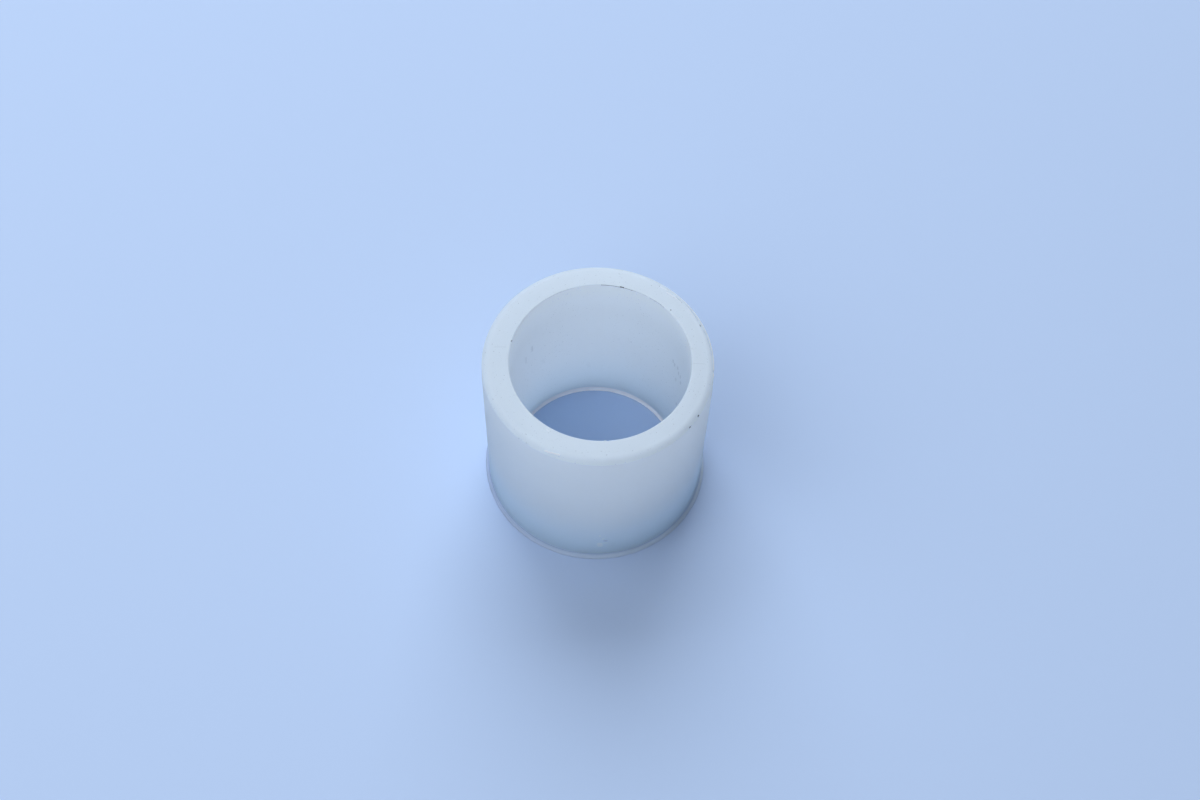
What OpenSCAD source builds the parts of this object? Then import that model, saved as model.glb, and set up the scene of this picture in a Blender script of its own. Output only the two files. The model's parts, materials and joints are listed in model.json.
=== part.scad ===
// Plain sleeve bushing of natural white plastic, one piece, standing on its lipped foot.
// Millimetres. +Z runs along the bore, and the origin is the centre of the foot.

/* [Sleeve] */
// Diameter of the bore that the shaft runs in
bore_d = 25; // [10:0.5:60]
// Thickness of the wall between the bore and the straight outside
wall = 3.5; // [2.6:0.1:8]
// Length from the foot to the flat end of the nose
sleeve_l = 28.7; // [10:0.1:80]

/* [Nose] */
// How far in from the outside the crown of the nose begins
crown_w = 1.3; // [0.9:0.1:2]
// How far the crown falls from the flat ring to its edge on the outside
crown_h = 0.7; // [0.2:0.05:0.9]
// Radius of the small round where the nose meets the bore
bore_round = 0.2; // [0.1:0.05:0.4]

/* [Foot lip] */
// How far the lip stands out from the straight outside
lip_proud = 0.55; // [0.3:0.05:0.8]
// Height of the lip's outer edge
lip_edge = 0.2; // [0.15:0.05:0.8]
// Height of the hollow flare that runs from the lip's edge up to the wall
flare_h = 0.75; // [0.4:0.05:1.5]
// Angle between the flare and the wall where they meet, in degrees
flare_angle = 6; // [3:1:10]

/* [Hidden] */

// The revolve and its rounds are true curves, drawn here in this many steps
$fn = 128;

natural_white = [0.86, 0.89, 0.93];

bore_r = bore_d / 2;
sleeve_r = bore_r + wall;
flare_top = lip_edge + flare_h;

// Arc of the flare, which leaves the wall at flare_angle and ends on the lip's edge
flare_r = (lip_proud * lip_proud + flare_h * flare_h)
    / (2 * (lip_proud * cos(flare_angle) - flare_h * sin(flare_angle)));
flare_centre = [sleeve_r + flare_r * cos(flare_angle), flare_top + flare_r * sin(flare_angle)];

// What an arc takes off a corner at the origin, with the material towards -X and -Y.
// The arc leaves the top level, w in from the corner, and reaches the side h below the corner.
module arc_waste(w, h) {
    r = (w * w + h * h) / (2 * h);
    difference() {
        translate([-w, -r])
            square([2 * w, 2 * r]);
        translate([-w, -r])
            circle(r);
    }
}

// Half section of the straight wall, before its edges are rounded
module wall_section() {
    translate([bore_r, 0])
        square([wall, sleeve_l]);
}

// Half section of the foot, whose lip flares out from the wall along a hollow arc
module foot_section() {
    difference() {
        translate([bore_r, 0])
            square([wall + lip_proud, flare_centre.y]);
        translate(flare_centre)
            circle(flare_r);
    }
}

// Whole half section of the bushing, to the right of its axis
module bushing_section() {
    difference() {
        union() {
            wall_section();
            foot_section();
        }
        translate([sleeve_r, sleeve_l])
            arc_waste(crown_w, crown_h);
        translate([bore_r, sleeve_l])
            mirror([1, 0])
                arc_waste(bore_round, bore_round);
    }
}

// The bushing, turned from its half section
module bushing() {
    color(natural_white)
        rotate_extrude()
            bushing_section();
}

bushing();
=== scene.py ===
"""Looks of a plain sleeve bushing in natural white plastic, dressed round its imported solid.

One piece stands for the solid. A Geometry Nodes tree turns its half section round the bore axis,
makes the thin flash at its foot uneven and presses its nicks in. Procedural finishes carry the milky
plastic, with the dirt and handling marks of each face, and the flash. Metres, +Z along the bore,
origin at the centre of the foot.
"""

import json
import logging
import math
from dataclasses import dataclass
from enum import Enum
from typing import ClassVar, Dict, List, Sequence, Tuple, Union

import bpy
from mathutils import Matrix, Vector


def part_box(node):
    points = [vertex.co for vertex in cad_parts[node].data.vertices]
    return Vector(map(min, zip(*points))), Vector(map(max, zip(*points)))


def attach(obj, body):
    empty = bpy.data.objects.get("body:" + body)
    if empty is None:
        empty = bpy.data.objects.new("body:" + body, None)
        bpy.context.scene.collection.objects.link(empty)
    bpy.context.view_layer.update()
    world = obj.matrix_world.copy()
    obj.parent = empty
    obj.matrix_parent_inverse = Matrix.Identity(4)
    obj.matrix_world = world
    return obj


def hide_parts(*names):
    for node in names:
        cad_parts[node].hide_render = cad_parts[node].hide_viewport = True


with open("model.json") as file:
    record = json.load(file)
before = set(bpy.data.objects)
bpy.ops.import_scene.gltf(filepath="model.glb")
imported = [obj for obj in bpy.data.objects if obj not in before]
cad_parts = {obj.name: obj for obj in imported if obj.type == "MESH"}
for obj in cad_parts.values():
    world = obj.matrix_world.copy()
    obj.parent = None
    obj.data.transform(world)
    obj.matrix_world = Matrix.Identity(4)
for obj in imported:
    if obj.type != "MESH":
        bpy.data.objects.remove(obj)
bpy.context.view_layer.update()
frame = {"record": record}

LOG = logging.getLogger("bushing")
MM = 0.001
NODE = "bushing"
BODY = "root"

Socket = bpy.types.NodeSocket
Value = Union[float, int, Sequence[float], Socket]
Point = Tuple[float, float]
Colour = Tuple[float, float, float]


@dataclass(frozen=True)
class Noise:
    """A noise pattern.

    Attributes:
        scale: How many waves it has to a unit of length.
        detail: How many finer layers lie over them.
        seed: Shift in space that sets it apart from the others.
    """

    scale: float
    detail: float
    seed: float


class NodeSketch:
    """Adds nodes to a tree and joins them, for meshes and finishes alike."""

    def __init__(self, tree: bpy.types.NodeTree) -> None:
        """Keeps the tree that the nodes go into."""
        self.tree = tree

    def add(self, kind: str, **settings: object) -> bpy.types.Node:
        """Adds one node.

        Args:
            kind: Blender's name of the node type.
            settings: Properties to set on it.

        Returns:
            The new node.
        """
        node = self.tree.nodes.new(kind)
        for name, value in settings.items():
            setattr(node, name, value)
        return node

    def feed(self, socket: Socket, value: Value) -> None:
        """Links a socket to another one, or sets its plain value.

        Args:
            socket: The socket to fill.
            value: What it takes.
        """
        if isinstance(value, bpy.types.NodeSocket):
            self.tree.links.new(value, socket)
        else:
            socket.default_value = value

    def effect(self, tree: bpy.types.NodeTree, values: Dict[str, Value]) -> bpy.types.Node:
        """Places a shared effect.

        Args:
            tree: The effect's node group.
            values: What its inputs take, by their names.

        Returns:
            The group node.
        """
        node = self.add("ShaderNodeGroup", node_tree=tree)
        for name, value in values.items():
            self.feed(node.inputs[name], value)
        return node

    def math(self, operation: str, *values: Value, clamp: bool = False) -> Socket:
        """Adds a Math node.

        Args:
            operation: What it works out.
            values: Its inputs, in order.
            clamp: Whether the result is limited to 0 to 1.

        Returns:
            The result.
        """
        node = self.add("ShaderNodeMath", operation=operation, use_clamp=clamp)
        for socket, value in zip(node.inputs, values):
            self.feed(socket, value)
        return node.outputs["Value"]

    def vector(self, operation: str, *values: Value) -> Socket:
        """Adds a Vector Math node.

        Args:
            operation: What it works out.
            values: Its inputs, in order.

        Returns:
            The vector, or the number where the operation has only that.
        """
        node = self.add("ShaderNodeVectorMath", operation=operation)
        for socket, value in zip(node.inputs, values):
            self.feed(socket, value)
        plain = operation in ("DOT_PRODUCT", "LENGTH", "DISTANCE")
        return node.outputs["Value" if plain else "Vector"]

    def scaled(self, vector: Value, factor: Value) -> Socket:
        """Multiplies a vector by a number.

        Args:
            vector: The vector.
            factor: The number.

        Returns:
            The scaled vector.
        """
        node = self.add("ShaderNodeVectorMath", operation="SCALE")
        self.feed(node.inputs["Vector"], vector)
        self.feed(node.inputs["Scale"], factor)
        return node.outputs["Vector"]

    def split(self, vector: Value) -> Tuple[Socket, Socket, Socket]:
        """Splits a vector.

        Args:
            vector: The vector.

        Returns:
            Its X, Y and Z.
        """
        node = self.add("ShaderNodeSeparateXYZ")
        self.feed(node.inputs[0], vector)
        return node.outputs["X"], node.outputs["Y"], node.outputs["Z"]

    def joined(self, x: Value, y: Value, z: Value) -> Socket:
        """Joins three numbers to a vector.

        Args:
            x: Its first part.
            y: Its second part.
            z: Its third part.

        Returns:
            The vector.
        """
        node = self.add("ShaderNodeCombineXYZ")
        for socket, value in zip(node.inputs, (x, y, z)):
            self.feed(socket, value)
        return node.outputs["Vector"]

    def ramp(self, value: Value, low: Value, high: Value, smooth: bool = True) -> Socket:
        """Turns a value into its share of a span.

        Args:
            value: The value.
            low: Where the share is 0.
            high: Where it is 1, which may lie below low.
            smooth: Whether the share eases in and out.

        Returns:
            The share, limited to 0 to 1.
        """
        node = self.add("ShaderNodeMapRange", clamp=True)
        node.interpolation_type = "SMOOTHSTEP" if smooth else "LINEAR"
        self.feed(node.inputs["Value"], value)
        self.feed(node.inputs["From Min"], low)
        self.feed(node.inputs["From Max"], high)
        return node.outputs["Result"]

    def swing(self, vector: Value, noise: Noise) -> Socket:
        """Draws noise.

        Args:
            vector: Where it is read.
            noise: Its grain and its fixed seed.

        Returns:
            A number from about -1 to 1.
        """
        node = self.add("ShaderNodeTexNoise", noise_dimensions="3D")
        self.feed(node.inputs["Vector"], self.vector("ADD", vector, (noise.seed,) * 3))
        self.feed(node.inputs["Scale"], noise.scale)
        self.feed(node.inputs["Detail"], noise.detail)
        return self.math("MULTIPLY_ADD", node.outputs[0], 2.0, -1.0)

    def mixed(self, factor: Value, first: Value, second: Value, blend: str = "MIX") -> Socket:
        """Mixes two colours.

        Args:
            factor: How much the second one counts, from 0 to 1.
            first: The first colour.
            second: The second colour.
            blend: How the second goes onto the first.

        Returns:
            The mixed colour.
        """
        node = self.add("ShaderNodeMix", data_type="RGBA", blend_type=blend)
        for socket, value in zip((node.inputs[0], node.inputs[6], node.inputs[7]), (factor, first, second)):
            wide = not isinstance(value, (bpy.types.NodeSocket, float))
            self.feed(socket, (*value, 1.0) if wide else value)
        return node.outputs[2]

    def most(self, values: Sequence[Socket]) -> Value:
        """Finds the largest of some numbers.

        Args:
            values: The numbers.

        Returns:
            The largest, or 0 where there are none.
        """
        largest: Value = 0.0
        for value in values:
            largest = self.math("MAXIMUM", largest, value)
        return largest


@dataclass(frozen=True)
class SleeveSizes:
    """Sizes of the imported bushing, in metres.

    Attributes:
        bore_r: Radius of the bore.
        sleeve_r: Radius of the outside wall.
        lip_r: Radius of the foot lip.
        nose_flat_r: Outer radius of the nose's flat ring.
        length: Height from the foot to the flat ring.
        wall_from: Height at which the straight wall starts, above the lip's flare.
        wall_to: Height at which it ends, at the crown.
        bore_to: Height at which the straight bore ends, below its broken edge.
    """

    bore_r: float
    sleeve_r: float
    lip_r: float
    nose_flat_r: float
    length: float
    wall_from: float
    wall_to: float
    bore_to: float

    @classmethod
    def from_frame(cls) -> "SleeveSizes":
        """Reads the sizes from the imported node's box and its mounts.

        Returns:
            The sizes.
        """
        mounts = {mount["name"]: mount for mount in frame["record"]["mounts"]}
        bore, seat, nose = mounts["shaft_bore"], mounts["housing_seat"], mounts["nose_face"]
        low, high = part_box(NODE)
        length = high.z - low.z
        half_seat = seat["dims"]["length_mm"] * MM / 2
        bore_r = bore["dims"]["r_mm"] * MM
        bore_to = bore["pos_m"][2] + bore["dims"]["length_mm"] * MM / 2
        mouth_r = bore_r + length - bore_to
        return cls(
            bore_r=bore_r,
            sleeve_r=seat["dims"]["r_mm"] * MM,
            lip_r=high.x,
            nose_flat_r=2.0 * nose["pos_m"][0] - mouth_r,
            length=length,
            wall_from=seat["pos_m"][2] - half_seat,
            wall_to=seat["pos_m"][2] + half_seat,
            bore_to=bore_to,
        )

    @property
    def mouth_r(self) -> float:
        """Inner radius of the nose's flat ring."""
        return self.bore_r + self.length - self.bore_to

    @property
    def middle_r(self) -> float:
        """Radius half way through the wall."""
        return (self.bore_r + self.sleeve_r) / 2


@dataclass(frozen=True)
class Unevenness:
    """How the real sleeve departs from its plain section.

    Attributes:
        lip: How far the edge of the flash wanders in.
        burr: How far the flash stands into the bore.
        burr_h: Height of the flash in the bore.
        crown_in: How far the crown's edge has worn in from the wall.
        crown_rise: How far its edge lies above the plain one.
        waist: How far the wall is drawn in just below the crown's edge.
        waist_h: Height over which the wall comes out again.
        mouth: Radius of the round that is left at the bore's edge.
        bore_lean: How far the bore has moved along +X at the nose.
        coarse: The slow wandering of the flash.
        fine: The quick wandering over it.
        fine_share: How much the quick wandering counts.
    """

    lip: float = 0.12 * MM
    burr: float = 0.22 * MM
    burr_h: float = 0.85 * MM
    crown_in: float = 0.10 * MM
    crown_rise: float = 0.10 * MM
    waist: float = 0.12 * MM
    waist_h: float = 3.0 * MM
    mouth: float = 0.12 * MM
    bore_lean: float = 0.29 * MM
    coarse: Noise = Noise(4.0, 3.0, 0.7)
    fine: Noise = Noise(26.0, 2.0, 1.7)
    fine_share: float = 0.4


@dataclass(frozen=True)
class Crown:
    """Fall of the nose from its flat ring out to its edge.

    Attributes:
        flat_r: Radius at which it leaves the flat ring.
        edge_r: Radius of its edge.
        top: Height of the flat ring.
        edge_z: Height of its edge.
        power: How late it falls, 1 for a straight slope.
        brightened_towards: Where round the axis its edge is whitened most, by wear and by painted light, in
            degrees from +X.
    """

    flat_r: float
    edge_r: float
    top: float
    edge_z: float
    power: float = 2.8
    brightened_towards: float = -30.0

    @classmethod
    def of(cls, sizes: SleeveSizes, uneven: Unevenness) -> "Crown":
        """Returns the crown of a sleeve, whose edge has worn a little."""
        edge_r, edge_z = sizes.sleeve_r - uneven.crown_in, sizes.wall_to + uneven.crown_rise
        return cls(sizes.nose_flat_r, edge_r, sizes.length, edge_z)

    @property
    def end_angle(self) -> float:
        """Angle of the crown's normal at its edge, in degrees above level."""
        slope = self.power * (self.top - self.edge_z) / (self.edge_r - self.flat_r)
        return 90.0 - math.degrees(math.atan(slope))

    def height(self, radius: float) -> float:
        """Returns the height of the crown at a radius from the axis."""
        share = max(0.0, (radius - self.flat_r) / (self.edge_r - self.flat_r))
        return self.top - (self.top - self.edge_z) * share**self.power


@dataclass(frozen=True)
class HalfSection:
    """Half section of the bushing, a closed loop of points right of its axis.

    Attributes:
        sizes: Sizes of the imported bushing.
        uneven: How the real sleeve departs from them.
        lip_edge: Height of the foot lip's upright edge.
        burr_edge: Height of the upright edge of the flash in the bore.
        corner: Radius of the lip's and the flash's lower corners.
        rim_corner: Radius of the round at the crown's edge.
        rim_under: How far below the crown's edge the wall ends.
        rim_under_angle: Angle of that round's lower end, in degrees above level.
        corner_steps: Steps round a lower corner.
        arc_steps: Steps across the crown, of which a round edge has half as many.
        flare_steps: Steps along a flare.
        wall_steps: Steps up the straight wall.
        waist_steps: Steps along the drawn-in stretch.
        bore_steps: Steps down the bore.
        face_steps: Steps across the foot and the flat ring.
    """

    sizes: SleeveSizes
    uneven: Unevenness
    lip_edge: float = 0.2 * MM
    burr_edge: float = 0.15 * MM
    corner: float = 0.05 * MM
    rim_corner: float = 0.18 * MM
    rim_under: float = 0.3 * MM
    rim_under_angle: float = -50.0
    corner_steps: int = 4
    arc_steps: int = 16
    flare_steps: int = 12
    wall_steps: int = 18
    waist_steps: int = 12
    bore_steps: int = 14
    face_steps: int = 12

    @staticmethod
    def arc(centre: Point, radius: float, start: float, end: float, steps: int) -> List[Point]:
        """Returns the points of an arc.

        Args:
            centre: Middle of the arc.
            radius: Its radius.
            start: Angle of its first point, in degrees from +X.
            end: Angle of its last point.
            steps: Number of steps from the first point to the last.

        Returns:
            The points in order, both ends included.
        """
        angles = [math.radians(start + (end - start) * i / steps) for i in range(steps + 1)]
        return [(centre[0] + radius * math.cos(a), centre[1] + radius * math.sin(a)) for a in angles]

    @staticmethod
    def line(start: Point, end: Point, steps: int) -> List[Point]:
        """Returns the points inside a straight stretch, without its ends."""
        shares = [i / steps for i in range(1, steps)]
        return [(start[0] + (end[0] - start[0]) * s, start[1] + (end[1] - start[1]) * s) for s in shares]

    def flare(self, wall_r: float, proud: float, low: float, high: float) -> List[Point]:
        """Returns the hollow arc from a lip's edge up to the wall.

        Args:
            wall_r: Radius of the wall.
            proud: How far the lip stands out, negative for one that stands into the bore.
            low: Height of the lip's edge.
            high: Height at which the arc meets the wall.

        Returns:
            The points from the lip to the wall, both ends included.
        """
        points = []
        for i in range(self.flare_steps + 1):
            share = i / self.flare_steps
            reach = 1.0 - math.sqrt(max(0.0, 1.0 - (1.0 - share) ** 2))
            points.append((wall_r + proud * reach, low + (high - low) * share))
        return points

    def wall(self) -> List[Point]:
        """Draws the outside wall, drawn in a little at its top.

        Returns:
            The points from the flare up to the crown's edge.
        """
        s, uneven = self.sizes, self.uneven
        top = Crown.of(s, uneven).edge_z - self.rim_under
        start = (s.sleeve_r, top - uneven.waist_h)
        points = self.line((s.sleeve_r, s.wall_from), start, self.wall_steps) + [start]
        for i in range(1, self.waist_steps + 1):
            share = i / self.waist_steps
            points.append((s.sleeve_r - uneven.waist * share * share, start[1] + uneven.waist_h * share))
        return points

    def nose(self) -> List[Point]:
        """Draws the crown and its rounded edge.

        Returns:
            The points from the wall up to the flat ring.
        """
        crown = Crown.of(self.sizes, self.uneven)
        turn = math.radians(crown.end_angle)
        inward = (self.rim_corner * math.cos(turn), self.rim_corner * math.sin(turn))
        centre = (crown.edge_r - inward[0], crown.edge_z - inward[1])
        edge = self.arc(centre, self.rim_corner, self.rim_under_angle, crown.end_angle, self.arc_steps // 2)
        run = crown.flat_r - crown.edge_r
        radii = [crown.edge_r + run * i / self.arc_steps for i in range(1, self.arc_steps + 1)]
        return edge + [(radius, crown.height(radius)) for radius in radii]

    def points(self) -> List[Point]:
        """Draws the whole loop.

        Returns:
            The points as (radius, height), from the foot round by the outside.
        """
        s, uneven = self.sizes, self.uneven
        burr_r = s.bore_r - uneven.burr
        c = self.corner
        lip = self.arc((s.lip_r - c, c), c, -90.0, 0.0, self.corner_steps)
        nose = self.nose()
        m = uneven.mouth
        mouth = self.arc((s.bore_r + m, s.length - m), m, 90.0, 180.0, self.arc_steps // 2)
        inner_flare = self.flare(s.bore_r, -uneven.burr, self.burr_edge, uneven.burr_h)[::-1]
        burr = self.arc((burr_r + c, c), c, 180.0, 270.0, self.corner_steps)
        stretches = [
            lip,
            self.flare(s.sleeve_r, s.lip_r - s.sleeve_r, self.lip_edge, s.wall_from),
            self.wall(),
            nose,
            self.line(nose[-1], mouth[0], self.face_steps),
            mouth,
            self.line(mouth[-1], inner_flare[0], self.bore_steps),
            inner_flare,
            burr,
            self.line(burr[-1], lip[0], self.face_steps),
        ]
        return [point for stretch in stretches for point in stretch]

    def mesh(self, name: str) -> bpy.types.Mesh:
        """Makes the loop a mesh of points.

        Args:
            name: Name of the mesh.

        Returns:
            The mesh, with the radius in X and the height in Z.
        """
        mesh = bpy.data.meshes.new(name)
        mesh.from_pydata([(r, 0.0, z) for r, z in self.points()], [], [])
        return mesh


class Face(Enum):
    """Face of the sleeve that has a finish of its own."""

    NOSE = "nose"
    BORE = "bore"
    WALL = "wall"
    LIP = "lip"
    BURR = "burr"


class Zone(Enum):
    """Stretch of the half section, named with what a reach along it measures."""

    NOSE = "radius on the flat ring, in millimetres"
    CROWN = "distance in from the outside wall, in millimetres"
    MOUTH = "degrees round the edge of the bore, down from the flat ring"
    BORE = "height in the bore, in millimetres"
    WALL = "height on the outside, in millimetres"
    LIP = "height on the edge of the foot lip, in millimetres"


class MarkKind(Enum):
    """What a mark on the surface is."""

    DIRT = "dirt"
    SMUDGE = "smudge"
    SCUFF = "scuff"


@dataclass(frozen=True)
class Mark:
    """A mark along a short run of the surface.

    Attributes:
        kind: What it is.
        zone: The stretch of the section that it lies on.
        angles: Where it starts and ends round the axis, in degrees from +X.
        reach: Where it starts and ends along the zone.
        width: Half its width, in millimetres.
        strength: How much of the surface it covers, from 0 to 1.
        ragged: How far its edge wanders, as a share of its width.
    """

    kind: MarkKind
    zone: Zone
    angles: Point
    reach: Point
    width: float
    strength: float
    ragged: float = 0.8


@dataclass(frozen=True)
class Nick:
    """A small dent or raised burr.

    Attributes:
        zone: The stretch of the section that it lies on.
        angle: Where it is round the axis, in degrees from +X.
        reach: Where it is along the zone.
        radius: How far it spreads, in millimetres.
        depth: How deep it goes, in millimetres, negative for a raised burr.
    """

    zone: Zone
    angle: float
    reach: float
    radius: float
    depth: float


@dataclass(frozen=True)
class Placing:
    """Finds points on the sleeve by their zone, angle and reach.

    Attributes:
        sizes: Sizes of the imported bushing.
        uneven: How the real sleeve departs from them.
        overlap: How far past a face's edge a mark still reaches onto it.
    """

    sizes: SleeveSizes
    uneven: Unevenness
    overlap: float = 0.35 * MM

    @property
    def crown(self) -> Crown:
        """The crown of the nose."""
        return Crown.of(self.sizes, self.uneven)

    def on_section(self, zone: Zone, reach: float) -> Point:
        """Finds a point of the half section.

        Args:
            zone: The stretch of the section.
            reach: How far along it.

        Returns:
            Its radius and its height.
        """
        s = self.sizes
        if zone is Zone.CROWN:
            radius = s.sleeve_r - reach * MM
            return radius, self.crown.height(radius)
        if zone is Zone.MOUTH:
            turn, m = math.radians(reach), self.uneven.mouth
            return s.bore_r + m - m * math.sin(turn), s.length - m + m * math.cos(turn)
        if zone is Zone.NOSE:
            return reach * MM, s.length
        return {Zone.BORE: s.bore_r, Zone.WALL: s.sleeve_r, Zone.LIP: s.lip_r}[zone], reach * MM

    def faces(self, zone: Zone, reach: float) -> List[Face]:
        """Finds the faces at a point of the half section.

        Args:
            zone: The stretch of the section.
            reach: How far along it.

        Returns:
            The faces that it lies on or close to.
        """
        if zone is Zone.LIP:
            return [Face.LIP]
        radius, height = self.on_section(zone, reach)
        inside = radius < self.sizes.middle_r
        above = height - (self.sizes.length - self.uneven.mouth if inside else self.crown.edge_z)
        found = [Face.NOSE] if above > -self.overlap else []
        side = Face.BORE if inside else Face.WALL
        return found + [side] if above < self.overlap else found

    def point(self, zone: Zone, angle: float, reach: float) -> Vector:
        """Finds a point on the sleeve.

        Args:
            zone: The stretch of the section.
            angle: Where it is round the axis, in degrees from +X.
            reach: How far along it.

        Returns:
            The point in the part's own frame, with the bore's lean.
        """
        s = self.sizes
        radius, height = self.on_section(zone, reach)
        inner = (s.nose_flat_r - radius) / (s.nose_flat_r - s.mouth_r)
        lean = self.uneven.bore_lean * height / s.length * min(max(inner, 0.0), 1.0)
        turn = math.radians(angle)
        return Vector((radius * math.cos(turn) + lean, radius * math.sin(turn), height))

    def unrolled(self, zone: Zone, angle: float, reach: float) -> Vector:
        """Returns the point as a run round the axis, a radius and a height."""
        x, y, z = self.point(zone, angle, reach)
        return Vector((math.atan2(y, x) * self.sizes.middle_r, math.hypot(x, y), z))


@dataclass(frozen=True)
class HandlingMarks:
    """Dirt, smudges, scuffs and nicks that the sleeve has picked up.

    Attributes:
        bore_edge: Marks along the upper edge of the bore.
        nose: Marks on the flat ring.
        crown: Marks on the crown.
        wall: Marks on the outside wall and the lip.
        bore: Marks in the bore.
        nicks: Small dents and raised burrs.
        dabs: Faint dabs down the right of the bore, each an angle and a height in millimetres.
        dab_height: How far down each dab runs, in millimetres.
        dab_width: Half the width of a dab, in millimetres.
        dab_strength: How much of the surface a dab covers.
        dab_ragged: How far a dab's edge wanders.
    """

    bore_edge: Tuple[Mark, ...] = (
        Mark(MarkKind.DIRT, Zone.MOUTH, (91.0, 70.0), (58.0, 80.0), 0.055, 0.75, 1.0),
        Mark(MarkKind.DIRT, Zone.MOUTH, (78.6, 76.6), (55.0, 60.0), 0.15, 1.0, 0.4),
        Mark(MarkKind.SMUDGE, Zone.MOUTH, (70.0, 60.0), (80.0, 65.0), 0.06, 0.4, 1.5),
        Mark(MarkKind.SMUDGE, Zone.MOUTH, (58.0, 46.0), (75.0, 55.0), 0.07, 0.5, 2.0),
        Mark(MarkKind.SMUDGE, Zone.MOUTH, (133.0, 109.0), (45.0, 80.0), 0.05, 0.2, 2.2),
        Mark(MarkKind.DIRT, Zone.MOUTH, (167.9, 167.3), (45.0, 60.0), 0.20, 0.5, 0.3),
    )
    nose: Tuple[Mark, ...] = (
        Mark(MarkKind.DIRT, Zone.NOSE, (42.0, 42.0), (12.93, 12.93), 0.13, 0.8, 0.3),
        Mark(MarkKind.SMUDGE, Zone.NOSE, (0.0, 0.0), (12.7, 14.5), 0.06, 0.16, 1.2),
        Mark(MarkKind.SMUDGE, Zone.NOSE, (173.6, 172.7), (14.4, 13.1), 0.12, 0.08, 1.0),
        Mark(MarkKind.SCUFF, Zone.NOSE, (-121.5, -120.0), (13.0, 13.1), 0.16, 0.5),
    )
    crown: Tuple[Mark, ...] = (
        Mark(MarkKind.SCUFF, Zone.CROWN, (51.0, 44.5), (1.1, 0.95), 0.14, 0.9, 1.4),
        Mark(MarkKind.SMUDGE, Zone.CROWN, (46.0, 41.0), (0.75, 0.85), 0.06, 0.5, 1.6),
        Mark(MarkKind.SMUDGE, Zone.CROWN, (40.0, 27.5), (0.5, 0.6), 0.06, 0.45, 1.6),
        Mark(MarkKind.SMUDGE, Zone.CROWN, (21.0, 6.0), (0.5, 0.4), 0.06, 0.35, 1.6),
        Mark(MarkKind.SCUFF, Zone.CROWN, (50.0, 22.0), (0.2, 0.2), 0.16, 0.9, 1.2),
        Mark(MarkKind.SCUFF, Zone.CROWN, (22.0, -6.0), (0.17, 0.15), 0.17, 0.8, 0.8),
        Mark(MarkKind.SCUFF, Zone.CROWN, (57.0, 52.0), (0.9, 0.8), 0.12, 0.9, 1.6),
        Mark(MarkKind.SCUFF, Zone.CROWN, (37.0, 30.0), (0.75, 0.8), 0.09, 0.7, 1.6),
        Mark(MarkKind.DIRT, Zone.CROWN, (24.6, 23.8), (0.68, 0.68), 0.12, 0.6, 0.3),
        Mark(MarkKind.DIRT, Zone.CROWN, (-3.1, -3.1), (0.15, 0.25), 0.12, 0.6, 0.3),
        Mark(MarkKind.DIRT, Zone.CROWN, (-29.9, -30.3), (0.17, 0.17), 0.16, 0.95, 0.3),
        Mark(MarkKind.DIRT, Zone.CROWN, (-37.5, -37.9), (0.12, 0.12), 0.15, 0.85, 0.3),
        Mark(MarkKind.SMUDGE, Zone.CROWN, (-130.0, -128.0), (0.05, 0.02), 0.11, 0.6),
        Mark(MarkKind.SMUDGE, Zone.CROWN, (-124.8, -124.2), (0.02, 0.02), 0.10, 0.5),
        Mark(MarkKind.SCUFF, Zone.CROWN, (-115.0, -107.5), (0.37, 0.54), 0.16, 0.8, 1.0),
    )
    wall: Tuple[Mark, ...] = (
        Mark(MarkKind.SCUFF, Zone.WALL, (-86.1, -86.1), (6.7, 6.8), 0.16, 0.9, 0.3),
        Mark(MarkKind.SMUDGE, Zone.WALL, (-83.3, -82.9), (5.1, 5.0), 0.36, 0.22, 0.3),
        Mark(MarkKind.SCUFF, Zone.WALL, (-84.5, -84.3), (5.6, 5.8), 0.25, 0.35, 0.3),
        Mark(MarkKind.SCUFF, Zone.WALL, (-86.0, -85.8), (4.1, 3.5), 0.52, 0.8, 0.3),
        Mark(MarkKind.SCUFF, Zone.WALL, (-83.8, -82.8), (4.3, 4.3), 0.30, 0.3, 0.3),
        Mark(MarkKind.DIRT, Zone.LIP, (-69.8, -70.2), (0.2, 0.2), 0.12, 0.8),
    )
    bore: Tuple[Mark, ...] = (
        Mark(MarkKind.SMUDGE, Zone.BORE, (141.6, 141.4), (19.3, 18.2), 0.32, 0.18, 0.3),
        Mark(MarkKind.SMUDGE, Zone.BORE, (148.2, 148.2), (18.2, 16.8), 0.24, 0.15, 0.3),
        Mark(MarkKind.SMUDGE, Zone.BORE, (132.0, 131.0), (13.3, 12.6), 0.45, 0.05, 0.5),
        Mark(MarkKind.SMUDGE, Zone.BORE, (97.5, 96.5), (7.6, 6.9), 0.45, 0.04, 0.5),
    )
    nicks: Tuple[Nick, ...] = (
        Nick(Zone.CROWN, -3.1, 0.1, 0.45, 0.12),
        Nick(Zone.CROWN, -30.1, 0.15, 0.30, 0.08),
        Nick(Zone.CROWN, -37.7, 0.08, 0.26, 0.07),
        Nick(Zone.CROWN, -129.0, 0.05, 0.40, 0.06),
        Nick(Zone.CROWN, -124.5, 0.02, 0.32, 0.05),
        Nick(Zone.MOUTH, -85.5, 45.0, 0.30, -0.07),
        Nick(Zone.MOUTH, -83.8, 45.0, 0.28, 0.08),
        Nick(Zone.MOUTH, 77.5, 45.0, 0.40, 0.06),
        Nick(Zone.LIP, -70.0, 0.2, 0.40, 0.12),
    )
    dabs: Tuple[Point, ...] = (
        (31.9, 18.8),
        (29.7, 18.5),
        (25.6, 18.9),
        (23.6, 18.1),
        (20.6, 18.1),
        (26.0, 15.6),
        (19.0, 17.0),
        (20.9, 10.3),
    )
    dab_height: float = 0.5
    dab_width: float = 0.27
    dab_strength: float = 0.22
    dab_ragged: float = 0.6

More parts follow.
